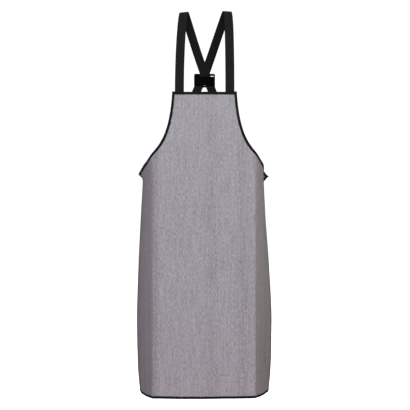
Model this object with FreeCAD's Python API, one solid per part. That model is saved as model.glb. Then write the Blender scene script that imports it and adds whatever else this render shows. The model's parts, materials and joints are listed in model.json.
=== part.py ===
import FreeCAD, Part
import math
import os

os.makedirs("parts", exist_ok=True)

V = FreeCAD.Vector
SQUARE = ((-1, -1), (1, -1), (1, 1), (-1, 1))   # corners of a square, in order round it

# Welding apron as worn. Units are millimetres and degrees.
# +Z is up, the front of the apron faces -Y, and the origin is where the straps lie on the shoulders.

# ---- Driving dimensions: cloth panel --------------------------------------------------------------
CLOTH = 1.6                 # thickness of the cloth
BIB_TOP_Z = -282.0          # top edge of the bib, below the shoulders
PANEL_LENGTH = 1000.0       # bib top to hem
BIB_HALF = 105.0            # half the bib's width along the cloth
PANEL_HALF = 345.0          # half the skirt's width along the cloth
ARMHOLE_DROP = 258.0        # bib top to the waist corner
WAIST_Z = BIB_TOP_Z - ARMHOLE_DROP
HEM_Z = BIB_TOP_Z - PANEL_LENGTH
ARMHOLE_BEND = ((12.5, 222.0), (96.0, 226.0))   # out from the bib's side and down: pulls the curve

# ---- Driving dimensions: how the panel wraps round the wearer -------------------------------------
BELLY_Y = -130.0            # the front from the belly down
CHEST_SET_BACK = 12.0       # the bib's top edge lies this much further back
CHEST_START_Z = -450.0      # height where the front starts to lean back
FRONT_RUN = {-1: 158.0, 1: 156.0}   # nearly flat front, from the centre to the fold
FRONT_TURN = 8.0
FOLD_RUN = 22.0             # soft upright fold between the front and the side wing
FOLD_TURN = 54.0
WING_END = {-1: 78.5, 1: 80.0}      # heading of the rear edge half way down
WAIST_CURL = {-1: 14.5, 1: 22.5}    # how much more the rear edge curls in at the waist
WAIST_REACH = 500.0         # how far that curl reaches down
HEM_CURL = 9.0              # and how much at the hem

# ---- Driving dimensions: bindings, webbing, plastic -----------------------------------------------
TAPE = 0.9                  # thickness of the binding tape
TAPE_GAP = 0.15
TOP_TAPE = 7.5              # how far each binding reaches onto the cloth
ARM_TAPE = 6.0
HEM_TAPE = 5.0
EDGE_PROUD = 1.2            # how far a binding stands past the cut edge
TOP_OVERRUN = 2.5           # how far the top binding runs past the bib's sides
WEB_WIDTH = 30.0
WEB = 1.5                   # thickness of the webbing
ANCHOR_X = {-1: 82.5, 1: 83.5}      # strap centre lines at the bib
ANCHOR_DROP = 38.0          # length of strap sewn behind the bib
ANCHOR_SET_IN = 3.2         # strap's middle behind the cloth's middle
SHOULDER_X = {-1: 68.5, 1: 75.0}    # strap centre lines on the shoulders
SHOULDER_Z = {-1: -1.5, 1: 1.5}     # one shoulder is a little lower
SHOULDER_SLOPE = {-1: 0.09, 1: 0.055}   # how much the straps tilt outward there
SHOULDER_EASE = {-1: 3.0, 1: 6.0}   # how far outside that the straps come up the chest
BACK_Y = 124.0              # depth of the crossing on the back
CROSS_X = 1.0
CROSS_Z = -198.0            # height of the crossing
FLAT_SHARE = 0.2            # share of the lower run that stays flat, through the slider
CHEST_PULL = (4.0, -120.0)  # what bends the straps on their way: back from the bib, and height
SHOULDER_PULL = (-75.0, 70.0)       # in front of and behind the shoulder
BLADE_IN = 5.0              # how much nearer the middle they are behind it
BACK_PULL = (34.0, -105.0)  # out from the middle, and height
CROSS_PULL = (45.0, 78.0)   # out and down from the crossing
WAIST_PULL = 50.0           # along the buckle's line
LAYER = {-1: 0.95, 1: -0.95}        # which strap lies outside at the crossing

# ---- Driving dimensions: crossover slider ---------------------------------------------------------
SLIDER_HALF = 36.5
SLIDER_TOP = -193.7
SLIDER_HEIGHT = 48.0
BAR = 7.5                   # height of the top bar
SLOT = 3.5                  # height of the upper slot
SLOT_START = -18.0          # left of this the upper slot is closed
BRIDGE = 31.0               # height of the wide middle bridge
LOW_BAR = 6.0
SIDE_POST = 4.5             # width of the frame beside the slots
SLIDER_WALL = 3.2
POST = 21.0                 # height of the posts between bridge and bars, above where the straps spread
STRAP_SPACE = 5.6           # depth left for two layers of webbing
SLIDER_CORNER = 5.0
BRIDGE_EDGE = 1.2
LAP = 2.0                   # how far the closed part of the slot runs into the bridge

# ---- Driving dimensions: side release buckles -----------------------------------------------------
BUCKLE_HALF = 19.0
SOCKET_START = 30.0         # distances along the strap from the waist corner
SOCKET_END = 66.0
SOCKET_HALF_DEPTH = 5.0
CAVITY_START = 40.0
CAVITY_HALF = 14.5
CAVITY_HALF_DEPTH = 2.9
WINDOW = (43.0, 52.3)
BAR_HALF = 1.3              # half the thickness of the webbing bars
BAR_LENGTH = 4.0
WEB_SLOT_HALF = 15.6
LOOP_RADIUS = 1.6           # inside radius of the webbing where it turns round a bar
PLUG_START = 66.3
PLUG_SLOT = 79.0
PLUG_BAR = 84.3
PLUG_END = 88.6
PLUG_HALF_DEPTH = 4.5
PRONG_ROOT = (64.6, 10.5)   # axis of the prong's bending neck
PRONG_HALF_DEPTH = 2.4
PRONG_NECK = 1.5            # radius of the bending neck
TONGUE = (44.0, 2.5, 2.0)   # start, half width and half depth of the plug's guide tongue
PLAN_CORNER = {"socket": 4.0, "plug": 3.0}      # radii of the halves' corners and edges
SOFT_EDGE = {"socket": 1.6, "plug": 1.4}
SOCKET_FLOOR = 2.4          # wall between the webbing slot and the cavity
BAR_SEAT = 0.5              # how far a bar runs into the body at each end
THROUGH = 9.0               # half height of the slots' cutting blocks
STRAIGHT_END = 165.0        # the strap is straight up to here
TAIL_END = 150.0
TAIL_HEM = 12.0
KEEPER = (108.0, 120.0)
CORNER_IN = 7.0             # where the strap's line leaves the cloth, in and down from the corner
CORNER_DOWN = 14.0
CORNER_SET_IN = 5.0
CORNER_PULL = V(0.60, 0.36, 0.71)   # direction of the strap at the waist; x is towards the centre


def unit(v):
    return V(v).normalize()


def smooth(t):
    t = min(max(t, 0.0), 1.0)
    return t * t * (3.0 - 2.0 * t)


def bezier(controls, u):
    """Point on a Bezier curve of any order, for vectors."""
    points = list(controls)
    while len(points) > 1:
        points = [a * (1.0 - u) + b * u for a, b in zip(points, points[1:])]
    return points[0]


# ---- The cloth surface ----------------------------------------------------------------------------

def wing_end(z, side):
    """Heading of the cloth at its rear edge, at a height."""
    below = WAIST_Z - z
    curl = WAIST_CURL[side] * max(1.0 - below / WAIST_REACH, 0.0) ** 1.4
    hem = HEM_CURL * max(below / (WAIST_Z - HEM_Z), 0.0) ** 10
    return WING_END[side] + curl + hem


def drape(s, z):
    """Middle of the cloth: point, direction of rising |s|, and outward normal.

    A level cut through the cloth is three tangent arcs on each side: front, fold and wing.
    """
    side = -1 if s < 0 else 1
    fold_end = FRONT_TURN + FOLD_TURN
    wing_run = PANEL_HALF - FRONT_RUN[side] - FOLD_RUN
    arcs = (
        (FRONT_RUN[side], FRONT_TURN),
        (FOLD_RUN, FOLD_TURN),
        (wing_run, wing_end(z, side) - fold_end),
    )
    x = 0.0
    y = BELLY_Y + CHEST_SET_BACK * max((z - CHEST_START_Z) / (BIB_TOP_Z - CHEST_START_Z), 0.0) ** 2
    heading = 0.0
    left = abs(s)
    for index, (run, turn) in enumerate(arcs):
        here = left if index == len(arcs) - 1 else min(left, run)
        per_mm = math.radians(turn) / run
        after = heading + per_mm * here
        x += (math.sin(after) - math.sin(heading)) / per_mm
        y -= (math.cos(after) - math.cos(heading)) / per_mm
        heading = after
        left -= here
    along = V(side * math.cos(heading), math.sin(heading), 0.0)
    out = V(side * math.sin(heading), -math.cos(heading), 0.0)
    return V(side * x, y, z), along, out


ARMHOLE = (
    V(BIB_HALF, BIB_TOP_Z, 0),
    V(BIB_HALF + ARMHOLE_BEND[0][0], BIB_TOP_Z - ARMHOLE_BEND[0][1], 0),
    V(BIB_HALF + ARMHOLE_BEND[1][0], BIB_TOP_Z - ARMHOLE_BEND[1][1], 0),
    V(PANEL_HALF, WAIST_Z, 0),
)


def level_section(z):
    """Closed wire round a level cut of the cloth, in tangent arcs."""
    breaks = [-PANEL_HALF, -FRONT_RUN[-1] - FOLD_RUN, -FRONT_RUN[-1], 0.0]
    breaks += [FRONT_RUN[1], FRONT_RUN[1] + FOLD_RUN, PANEL_HALF]

    def at(s, offset):
        point, _, out = drape(s, z)
        return point + out * offset

    def arcs(stops, offset):
        edges = []
        for a, b in zip(stops, stops[1:]):
            edges.append(Part.Arc(at(a, offset), at((a + b) / 2, offset), at(b, offset)).toShape())
        return edges

    half = CLOTH / 2
    front = arcs(breaks, half)
    back = arcs(breaks[::-1], -half)
    right = Part.makeLine(at(PANEL_HALF, half), at(PANEL_HALF, -half))
    left = Part.makeLine(at(-PANEL_HALF, -half), at(-PANEL_HALF, half))
    return Part.Wire(front + [right] + back + [left])


def full_width_sheet():
    """The cloth before its armholes are cut, as wide as the skirt all the way up."""
    heights = [BIB_TOP_Z, -315, -350, -400, -450, -500, WAIST_Z]
    heights += [-600, -650, -710, -770, -830, -890, -950, -1000, -1050]
    heights += [-1100, -1150, -1200, -1240, -1264, HEM_Z]
    return Part.makeLoft([level_section(z) for z in heights], True, False)


def armhole_cutter(side):
    """Solid over the cloth that is cut away between the bib and the waist corner."""
    outside = 60.0
    inside = 250.0
    far = 400.0
    over = 5.0
    above = V(BIB_HALF, BIB_TOP_Z + over, 0)
    steps = 56
    wires = []
    for edge in [above] + [bezier(ARMHOLE, i / steps) for i in range(steps + 1)]:
        point, along, out = drape(side * edge.x, edge.y)
        a = point + out * outside
        b = point - out * inside
        wires.append(Part.makePolygon([a, b, b + along * far, a + along * far, a]))
    return Part.makeLoft(wires, True, True)


def make_panel():
    sheet = full_width_sheet()
    return sheet.cut(armhole_cutter(-1)).cut(armhole_cutter(1))


# ---- Bindings: folded tape round a cut edge -------------------------------------------------------

def folded_tape(stations, reach):
    """Tape along stations of (s, z, outward |s|, outward z) on the cloth."""
    wires = []
    inside = CLOTH / 2 + TAPE_GAP
    outside = inside + TAPE
    for s, z, out_s, out_z in stations:
        side = -1 if s < 0 else 1
        point, _, out = drape(s, z)
        inner, _, inner_out = drape(s - side * out_s * reach, z - out_z * reach)
        proud = unit(point - inner)
        normal = out + inner_out
        normal = unit(normal - proud * normal.dot(proud))
        profile = (
            (-reach, outside), (EDGE_PROUD, outside), (EDGE_PROUD, -outside), (-reach, -outside),
            (-reach, -inside), (TAPE_GAP, -inside), (TAPE_GAP, inside), (-reach, inside),
        )
        corners = [(inner if a < 0 else point + proud * a) + normal * b for a, b in profile]
        wires.append(Part.makePolygon(corners + corners[:1]))
    return Part.makeLoft(wires, True, False)


def bib_top_stations():
    half = BIB_HALF + TOP_OVERRUN
    steps = 8
    return [(-half + 2 * half * i / steps, BIB_TOP_Z, 0.0, 1.0) for i in range(steps + 1)]


def armhole_stations(side):
    stations = []
    steps = 40
    start = 0.02
    for i in range(steps + 1):
        u = start + (1.0 - start) * i / steps
        here = bezier(ARMHOLE, u)
        ahead = bezier(ARMHOLE, min(u + 0.001, 1.0)) - bezier(ARMHOLE, min(u + 0.001, 1.0) - 0.002)
        ahead = unit(ahead)
        stations.append((side * here.x, here.y, -ahead.y, ahead.x))
    return stations


def rear_stations(side):
    gap = 0.5
    top = WAIST_Z - TOP_TAPE
    bottom = HEM_Z + HEM_TAPE + gap
    steps = 36
    return [(side * PANEL_HALF, top + (bottom - top) * i / steps, 1.0, 0.0) for i in range(steps + 1)]


def hem_stations():
    steps = 60
    half = PANEL_HALF + EDGE_PROUD
    return [(-half + 2 * half * i / steps, HEM_Z, 0.0, -1.0) for i in range(steps + 1)]


# ---- Webbing --------------------------------------------------------------------------------------

def band(stations, width, thickness):
    """Flat webbing through stations of (centre, run direction, face normal)."""
    wires = []
    for centre, run, face in stations:
        run = unit(run)
        face = unit(face - run * face.dot(run))
        across = face.cross(run)
        corners = []
        for a, b in SQUARE:
            corners.append(centre + across * (a * width / 2) + face * (b * thickness / 2))
        wires.append(Part.makePolygon(corners + corners[:1]))
    return Part.makeLoft(wires, True, False)


def frame_at(origin, x_axis, z_hint):
    """Placement whose X runs along the strap and whose Z faces away from the wearer."""
    x = unit(x_axis)
    z = unit(z_hint - x * z_hint.dot(x))
    y = z.cross(x)
    matrix = FreeCAD.Matrix(
        x.x, y.x, z.x, origin.x,
        x.y, y.y, z.y, origin.y,
        x.z, y.z, z.z, origin.z,
        0, 0, 0, 1)
    return FreeCAD.Placement(matrix)


CORNER_S = PANEL_HALF - CORNER_IN
CORNER_Z = WAIST_Z - CORNER_DOWN


def waist_frame(side):
    """Frame of the buckle at one waist corner."""
    point, _, out = drape(side * CORNER_S, CORNER_Z)
    pull = V(-side * CORNER_PULL.x, CORNER_PULL.y, CORNER_PULL.z)
    return frame_at(point - out * CORNER_SET_IN, pull, out)


def placed(shape, placement):
    moved = shape.copy()
    moved.transformShape(placement.toMatrix(), True)
    return moved


def box(low, high):
    return Part.makeBox(high[0] - low[0], high[1] - low[1], high[2] - low[2], V(*low))


def half_loop(x, opens):
    """Webbing turned half round a bar at x; opens is the side that the two runs leave on."""
    outer = Part.makeCylinder(LOOP_RADIUS + WEB, WEB_WIDTH, V(x, -WEB_WIDTH / 2, 0), V(0, 1, 0))
    inner = Part.makeCylinder(LOOP_RADIUS, WEB_WIDTH, V(x, -WEB_WIDTH / 2, 0), V(0, 1, 0))
    keep = 10.0
    low = x - keep if opens > 0 else x
    half = box((low, -WEB_WIDTH, -keep), (low + keep, WEB_WIDTH, keep))
    return outer.cut(inner).common(half)


def web_run(x0, x1, face):
    """Straight flat webbing on one side of the bars; face is 1 outside and -1 inside."""
    low = LOOP_RADIUS if face > 0 else -LOOP_RADIUS - WEB
    return box((x0, -WEB_WIDTH / 2, low), (x1, WEB_WIDTH / 2, low + WEB))


LOOP_X = PLUG_BAR + BAR_HALF


def bib_point(side, z):
    """Strap's middle where it lies behind the bib."""
    point, _, out = drape(side * ANCHOR_X[side], z)
    return point - out * ANCHOR_SET_IN, out


def strap_stations(side):
    """Stations from the bib over the shoulder, through the crossing, to the opposite waist."""
    up = V(0, 0, 1)
    behind = V(0, 1, 0)
    stations = []
    for z in (BIB_TOP_Z - ANCHOR_DROP, BIB_TOP_Z - ANCHOR_DROP / 2, BIB_TOP_Z):
        centre, out = bib_point(side, z)
        stations.append((centre, up, out))
    start = stations[-1][0]
    top_x = side * SHOULDER_X[side]
    top_z = SHOULDER_Z[side]
    top = V(top_x, 0, top_z)
    sloped = V(side * SHOULDER_SLOPE[side], 0, 1)
    cross = V(CROSS_X, BACK_Y + LAYER[side], CROSS_Z)
    chest = V(start.x, start.y + CHEST_PULL[0], CHEST_PULL[1])
    before = V(top_x + side * SHOULDER_EASE[side], SHOULDER_PULL[0], top_z)
    after = V(top_x - side * BLADE_IN, SHOULDER_PULL[1], top_z)
    front = (start, chest, before, top)
    back = (top, after, V(side * BACK_PULL[0], cross.y, BACK_PULL[1]), cross)
    frame = waist_frame(-side)
    inner_run = -(LOOP_RADIUS + WEB / 2)
    end = frame.multVec(V(STRAIGHT_END, 0, inner_run))
    pull = frame.Rotation.multVec(V(1, 0, 0))
    face = frame.Rotation.multVec(V(0, 0, 1))
    spread = V(-side * CROSS_PULL[0], cross.y, CROSS_Z - CROSS_PULL[1])
    lower = (cross, spread, end + pull * WAIST_PULL, end)
    faces = (
        (front, stations[-1][2], sloped),
        (back, sloped, behind),
        (lower, behind, face),
    )
    step = 0.001
    for curve, face_start, face_end in faces:
        count = 7
        for i in range(1, count + 1):
            u = i / count
            run = bezier(curve, min(u + step, 1.0)) - bezier(curve, min(u + step, 1.0) - 2 * step)
            turned = smooth((u - FLAT_SHARE) / (1.0 - FLAT_SHARE)) if curve is lower else u
            normal = face_start * (1.0 - turned) + face_end * turned
            stations.append((bezier(curve, u), run, normal))
    return stations, end, pull, face


def make_strap(side):
    stations, end, pull, face = strap_stations(side)
    stations[-1] = (end, -pull, face)
    long_run = band(stations, WEB_WIDTH, WEB)
    frame = waist_frame(-side)
    waist = web_run(LOOP_X, STRAIGHT_END, -1)
    waist = waist.fuse(half_loop(LOOP_X, 1))
    waist = waist.fuse(web_run(LOOP_X, TAIL_END, 1))
    hem_low = LOOP_RADIUS + WEB
    hem = box((TAIL_END - TAIL_HEM, -WEB_WIDTH / 2, hem_low), (TAIL_END, WEB_WIDTH / 2, hem_low + WEB))
    waist = waist.fuse(hem)
    return long_run.fuse(placed(waist, frame)).removeSplitter()


def make_waist_tab(side):
    """Loop of webbing sewn inside the waist corner and turned round the socket's bar."""
    frame = waist_frame(side)
    pull = frame.Rotation.multVec(V(1, 0, 0))
    face = frame.Rotation.multVec(V(0, 0, 1))
    _, along, _ = drape(side * CORNER_S, CORNER_Z)
    step_s = pull.dot(along)
    step_z = pull.z
    length = math.hypot(step_s, step_z)
    between_plies = 0.2
    under_tape = 0.6
    neck_start = 7.0
    neck_end = 12.0
    thick = 2 * WEB + between_plies
    set_in = CLOTH / 2 + TAPE_GAP + TAPE + under_tape + thick / 2
    stations = []
    for back in (48.0, 34.0, 20.0, 8.0):
        s = CORNER_S - back * step_s / length
        z = CORNER_Z - back * step_z / length
        point, here, normal = drape(side * s, z)
        run = here * step_s + V(0, 0, step_z)
        stations.append((point - normal * set_in, run, normal))
    stations.append((frame.multVec(V(neck_start, 0, 0)), pull, face))
    patch = band(stations, WEB_WIDTH, thick)
    loop_x = SOCKET_START + BAR_LENGTH - BAR_HALF
    loop = half_loop(loop_x, -1)
    loop = loop.fuse(web_run(neck_end, loop_x, 1)).fuse(web_run(neck_end, loop_x, -1))
    spread = LOOP_RADIUS + WEB
    half = WEB_WIDTH / 2
    near = [V(neck_start, a * half, b * thick / 2) for a, b in SQUARE]
    far = [V(neck_end, a * half, b * spread) for a, b in SQUARE]
    wedge = Part.makeLoft([Part.makePolygon(near + near[:1]), Part.makePolygon(far + far[:1])], True, True)
    loop = loop.fuse(wedge)
    return patch.fuse(placed(loop, frame)).removeSplitter()


def make_keeper():
    """Elastic loop that holds the strap's tail against its main run."""
    room = 0.5
    wall = 1.2
    half = WEB_WIDTH / 2 + room
    depth = LOOP_RADIUS + WEB + room
    outer = box((KEEPER[0], -half - wall, -depth - wall), (KEEPER[1], half + wall, depth + wall))
    outer = outer.makeFillet(wall, [e for e in outer.Edges if abs(e.tangentAt(0).x) > 0.9])
    inner = box((KEEPER[0] - 1, -half, -depth), (KEEPER[1] + 1, half, depth))
    return outer.cut(inner)


# ---- Side release buckle --------------------------------------------------------------------------

def rounded_block(x0, x1, half_width, half_depth, corner, edge):
    """Block with rounded plan corners and softened edges."""
    block = box((x0, -half_width, -half_depth), (x1, half_width, half_depth))
    upright = [e for e in block.Edges if abs(e.tangentAt(0).z) > 0.9]
    block = block.makeFillet(corner, upright)
    rims = [e for e in block.Edges if abs(abs(e.BoundBox.ZMin) - half_depth) < 1e-6
            and abs(e.BoundBox.ZMin - e.BoundBox.ZMax) < 1e-6]
    return block.makeFillet(edge, rims)


def bar_across(x0, x1, half_width):
    """Webbing bar with round edges, across the buckle."""
    middle = box((x0 + BAR_HALF, -half_width, -BAR_HALF), (x1 - BAR_HALF, half_width, BAR_HALF))
    for x in (x0 + BAR_HALF, x1 - BAR_HALF):
        middle = middle.fuse(Part.makeCylinder(BAR_HALF, 2 * half_width, V(x, -half_width, 0), V(0, 1, 0)))
    return middle.removeSplitter()


def make_socket():
    body = rounded_block(SOCKET_START, SOCKET_END, BUCKLE_HALF, SOCKET_HALF_DEPTH,
                         PLAN_CORNER["socket"], SOFT_EDGE["socket"])
    slot_end = CAVITY_START - SOCKET_FLOOR
    throat = box((SOCKET_START - 1, -WEB_SLOT_HALF, -THROUGH), (slot_end, WEB_SLOT_HALF, THROUGH))
    cavity = box((CAVITY_START, -CAVITY_HALF, -CAVITY_HALF_DEPTH),
                 (SOCKET_END + 1, CAVITY_HALF, CAVITY_HALF_DEPTH))
    windows = box((WINDOW[0], -BUCKLE_HALF - 1, -CAVITY_HALF_DEPTH),
                  (WINDOW[1], BUCKLE_HALF + 1, CAVITY_HALF_DEPTH))
    body = body.cut(throat).cut(cavity).cut(windows)
    bar = bar_across(SOCKET_START, SOCKET_START + BAR_LENGTH, WEB_SLOT_HALF + BAR_SEAT)
    return body.fuse(bar).removeSplitter()


def make_plug():
    body = rounded_block(PLUG_START, PLUG_END, BUCKLE_HALF, PLUG_HALF_DEPTH,
                         PLAN_CORNER["plug"], SOFT_EDGE["plug"])
    throat = box((PLUG_SLOT, -WEB_SLOT_HALF, -THROUGH), (PLUG_END + 1, WEB_SLOT_HALF, THROUGH))
    body = body.cut(throat)
    bar = bar_across(PLUG_BAR, PLUG_BAR + BAR_LENGTH, WEB_SLOT_HALF + BAR_SEAT)
    start, half_width, half_depth = TONGUE
    tongue = box((start, -half_width, -half_depth), (PLUG_START + 1, half_width, half_depth))
    return body.fuse(bar).fuse(tongue).removeSplitter()


def make_prong(hand):
    """Springy arm of the plug with an arrow head; hand is 1 or -1 across the buckle."""
    root_x, root_y = PRONG_ROOT
    outline = (
        (root_x, 12.0), (55.0, 12.0), (52.0, 13.4), (52.0, 16.8), (50.5, 17.2),
        (45.5, 14.2), (42.0, 11.0), (42.0, 8.6), (50.0, 8.8), (root_x, 9.0),
    )
    points = [V(x, hand * y, -PRONG_HALF_DEPTH) for x, y in outline]
    face = Part.Face(Part.makePolygon(points + points[:1]))
    arm = face.extrude(V(0, 0, 2 * PRONG_HALF_DEPTH))
    low = V(root_x, hand * root_y, -PRONG_HALF_DEPTH)
    neck = Part.makeCylinder(PRONG_NECK, 2 * PRONG_HALF_DEPTH, low)
    return arm.fuse(neck).removeSplitter()


# ---- Crossover slider -----------------------------------------------------------------------------

def make_slider():
    """Staggered bars: the straps pass outside the bridge and inside the top and bottom bars."""
    half = SLIDER_HALF
    bottom = SLIDER_TOP - SLIDER_HEIGHT
    bridge_y = BACK_Y - STRAP_SPACE / 2
    bars_y = BACK_Y + STRAP_SPACE / 2
    front_y = bridge_y - SLIDER_WALL
    back_y = bars_y + SLIDER_WALL
    bridge_top = SLIDER_TOP - BAR - SLOT
    bridge_bottom = bridge_top - BRIDGE
    outline = box((-half, bars_y, bottom), (half, back_y, SLIDER_TOP))
    outline = outline.makeFillet(SLIDER_CORNER, [e for e in outline.Edges if abs(e.tangentAt(0).y) > 0.9])
    window = box((-half + SIDE_POST, bars_y - 1, bottom + LOW_BAR),
                 (half - SIDE_POST, back_y + 1, SLIDER_TOP - BAR))
    body = outline.cut(window)
    bridge = box((-half, front_y, bridge_bottom), (half, bridge_y, bridge_top))
    rims = [e for e in bridge.Edges if abs(e.BoundBox.YMax - front_y) < 1e-6]
    bridge = bridge.makeFillet(BRIDGE_EDGE, rims)
    closed = box((-half, front_y, bridge_top - LAP), (SLOT_START, bridge_y, SLIDER_TOP - BAR))
    body = body.fuse(bridge).fuse(closed)
    for side in (-1, 1):
        x0 = side * half if side < 0 else half - SIDE_POST
        low = (x0, bridge_y - 1.0, SLIDER_TOP - BAR - POST)
        post = box(low, (x0 + SIDE_POST, bars_y + 1.0, SLIDER_TOP - BAR))
        body = body.fuse(post)
    return body.removeSplitter()


# ---- Stitching and label --------------------------------------------------------------------------

THREAD_RADIUS = 0.4
THREAD_CLEAR = 0.25         # at a thread's ends; the cloth is crowned below its middle
BOX_HALF = 12.0             # half the side of a box stitch
THREAD_GAP = 1.2
TAB_BOX = 0.8               # the tabs' boxes are this much smaller
TAB_BOX_IN = 17.0           # and lie this far in and down from the tab's corner
TAB_BOX_DOWN = 27.0
BIB_BOX_DOWN = 3.0


def thread(start, end):
    run = end - start
    return Part.makeCylinder(THREAD_RADIUS, run.Length, start, run)


def box_stitch(point_at):
    """Threads of a box stitch with a cross, on corners given by point_at(across, up)."""
    half = BOX_HALF
    corners = [point_at(a * half, b * half) for a, b in SQUARE]
    lines = [(corners[i], corners[(i + 1) % 4]) for i in range(4)]
    middle = point_at(0, 0)
    lines += [(middle, corner) for corner in corners]
    threads = []
    for start, end in lines:
        inset = unit(end - start) * THREAD_GAP
        threads.append(thread(start + inset, end - inset))
    return threads


def make_bib_stitching(side):
    centre_z = BIB_TOP_Z - ANCHOR_DROP / 2 - BIB_BOX_DOWN

    def point_at(across, up):
        point, _, out = drape(side * (ANCHOR_X[side] + across), centre_z + up)
        return point + out * (CLOTH / 2 + THREAD_RADIUS + THREAD_CLEAR)

    return Part.makeCompound(box_stitch(point_at))


def make_tab_stitching(side):
    centre_s = CORNER_S - TAB_BOX_IN
    centre_z = CORNER_Z - TAB_BOX_DOWN

    def point_at(across, up):
        point, _, out = drape(side * (centre_s + across * TAB_BOX), centre_z + up * TAB_BOX)
        return point + out * (CLOTH / 2 + THREAD_RADIUS + THREAD_CLEAR)

    return Part.makeCompound(box_stitch(point_at))


def make_label():
    """Blank folded label sewn inside beside the wearer's left wing."""
    middle = PANEL_HALF - 58.0
    width = 40.0
    top = WAIST_Z - 110.0
    height = 65.0
    thick = 0.6
    gap = 1.5
    steps = 3
    stations = []
    for i in range(steps + 1):
        point, _, out = drape(middle, top - height * i / steps)
        stations.append((point - out * (CLOTH / 2 + gap + thick / 2), V(0, 0, -1), out))
    return band(stations, width, thick)


# ---- All the pieces -------------------------------------------------------------------------------

SIDES = ((-1, "left"), (1, "right"))    # -1 is the left of someone facing the apron


def all_parts():
    parts = {
        "apron_panel": make_panel(),
        "bib_top_binding": folded_tape(bib_top_stations(), TOP_TAPE),
        "hem_binding": folded_tape(hem_stations(), HEM_TAPE),
        "crossover_slider": make_slider(),
        "care_label": make_label(),
    }
    socket = make_socket()
    plug = make_plug()
    keeper = make_keeper()
    for side, name in SIDES:
        frame = waist_frame(side)
        parts[name + "_armhole_binding"] = folded_tape(armhole_stations(side), ARM_TAPE)
        parts[name + "_side_binding"] = folded_tape(rear_stations(side), ARM_TAPE)
        parts[name + "_shoulder_strap"] = make_strap(side)
        parts[name + "_strap_anchor_stitching"] = make_bib_stitching(side)
        parts[name + "_waist_tab"] = make_waist_tab(side)
        parts[name + "_waist_tab_stitching"] = make_tab_stitching(side)
        parts[name + "_buckle_socket"] = placed(socket, frame)
        parts[name + "_buckle_plug"] = placed(plug, frame)
        parts[name + "_upper_prong"] = placed(make_prong(1), frame)
        parts[name + "_lower_prong"] = placed(make_prong(-1), frame)
        parts[name + "_strap_keeper"] = placed(keeper, frame)
    return parts


for node, shape in all_parts().items():
    shape.exportStep("parts/" + node + ".step")
    print(node, len(shape.Solids), shape.isValid(), round(shape.Volume / 1000, 3), "cm3")
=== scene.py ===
import json
import math

import bpy
import numpy as np
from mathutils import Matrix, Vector


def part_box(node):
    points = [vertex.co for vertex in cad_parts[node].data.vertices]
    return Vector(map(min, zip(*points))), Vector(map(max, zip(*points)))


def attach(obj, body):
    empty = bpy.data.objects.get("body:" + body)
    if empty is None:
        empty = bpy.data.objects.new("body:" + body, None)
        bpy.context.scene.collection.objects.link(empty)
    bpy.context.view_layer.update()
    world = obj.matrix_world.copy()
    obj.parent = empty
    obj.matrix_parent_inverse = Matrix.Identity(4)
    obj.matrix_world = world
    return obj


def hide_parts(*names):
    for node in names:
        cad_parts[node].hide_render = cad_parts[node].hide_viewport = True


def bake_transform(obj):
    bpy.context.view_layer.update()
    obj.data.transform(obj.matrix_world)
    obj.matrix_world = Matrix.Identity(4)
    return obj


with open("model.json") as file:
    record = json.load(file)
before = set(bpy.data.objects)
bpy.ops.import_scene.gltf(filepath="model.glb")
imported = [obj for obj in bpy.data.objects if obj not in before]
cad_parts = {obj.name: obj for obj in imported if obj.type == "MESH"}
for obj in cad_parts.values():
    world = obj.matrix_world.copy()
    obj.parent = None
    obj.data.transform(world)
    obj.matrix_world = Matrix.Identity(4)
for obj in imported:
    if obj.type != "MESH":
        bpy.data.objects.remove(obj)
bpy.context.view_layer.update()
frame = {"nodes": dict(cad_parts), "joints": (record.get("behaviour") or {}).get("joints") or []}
joints = {joint["name"]: joint for joint in frame["joints"]}

# Welding apron. Lengths are in metres; turns, curls, slants and headings given as numbers are in degrees.
# s is a place across the flat cloth from its middle, z a height.

SIDES = ((-1, "left"), (1, "right"))    # -1 is the left of someone facing the apron

# ---- Sizes from the frame -------------------------------------------------------------------------
BIB_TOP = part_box("apron_panel")[1].z
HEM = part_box("apron_panel")[0].z

# ---- The cloth's cut and drape, as in the CAD ------------------------------------------------------
CLOTH = 0.0016
BIB_HALF = 0.105
PANEL_HALF = 0.345
WAIST = BIB_TOP - 0.258
ARMHOLE_BEND = ((0.0125, 0.222), (0.096, 0.226))    # out from the bib's side and down: pulls the curve
BELLY_Y = -0.130
CHEST_SET_BACK = 0.012
CHEST_START = -0.450
CREASE_AT = {-1: 0.169, 1: 0.167}   # middle of the upright crease between front and wing
CREASE_HALF = 0.0045
CREASE_SOFT = 0.011                 # how much wider the crease is where it meets the armhole
CREASE_EASE = (0.03, 0.07)          # below the waist where that ends, and the height it takes
FRONT_TURN = 8.0
CREASE_TURN = 54.0
WING_END = {-1: 77.5, 1: 79.0}
WAIST_CURL = {-1: 15.9, 1: 24.6}
WAIST_REACH = 0.500
WAIST_FADE = 1.4                    # power by which that curl fades
HEM_CURL = 7.5
HEM_FADE = 10

# ---- What the draped cloth adds to that ------------------------------------------------------------
CORNER_OPEN = {-1: 3.8, 1: -2.0}    # how much the rear edge opens at the very corner
CORNER_EASE = (0.008, 0.024)        # below the waist where that starts to fade, and the height it takes
FLAP = {-1: 0.0165, 1: 0.0245}      # each corner is turned out beyond a slanting fold this far in
FLAP_TURN = {-1: 34.0, 1: 104.0}
FLAP_SLANT = {-1: 61.3, 1: 37.0}    # direction from the fold to the corner, up from level
FLAP_BEND = 0.0028                  # radius of that fold
FLAP_FROM = 0.200                   # both folds lie outside this s
WAVE = 0.0009                       # height of the soft upright waves in the cloth
WAVES = (                           # rate across, rate upward, phase, share
    (61.0, 0.0, 0.6, 0.6),
    (34.0, 1.7, -1.1, 1.0),
    (118.0, 2.3, 0.0, 0.5),
)
WAVE_GROWTH = (0.25, 0.9)           # their share at the bib's top, and what the hem adds to it
HEM_DIP = 0.0016                    # how far the hem sinks at the left end; the right rises a little
DIP_FADE = 6
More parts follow.
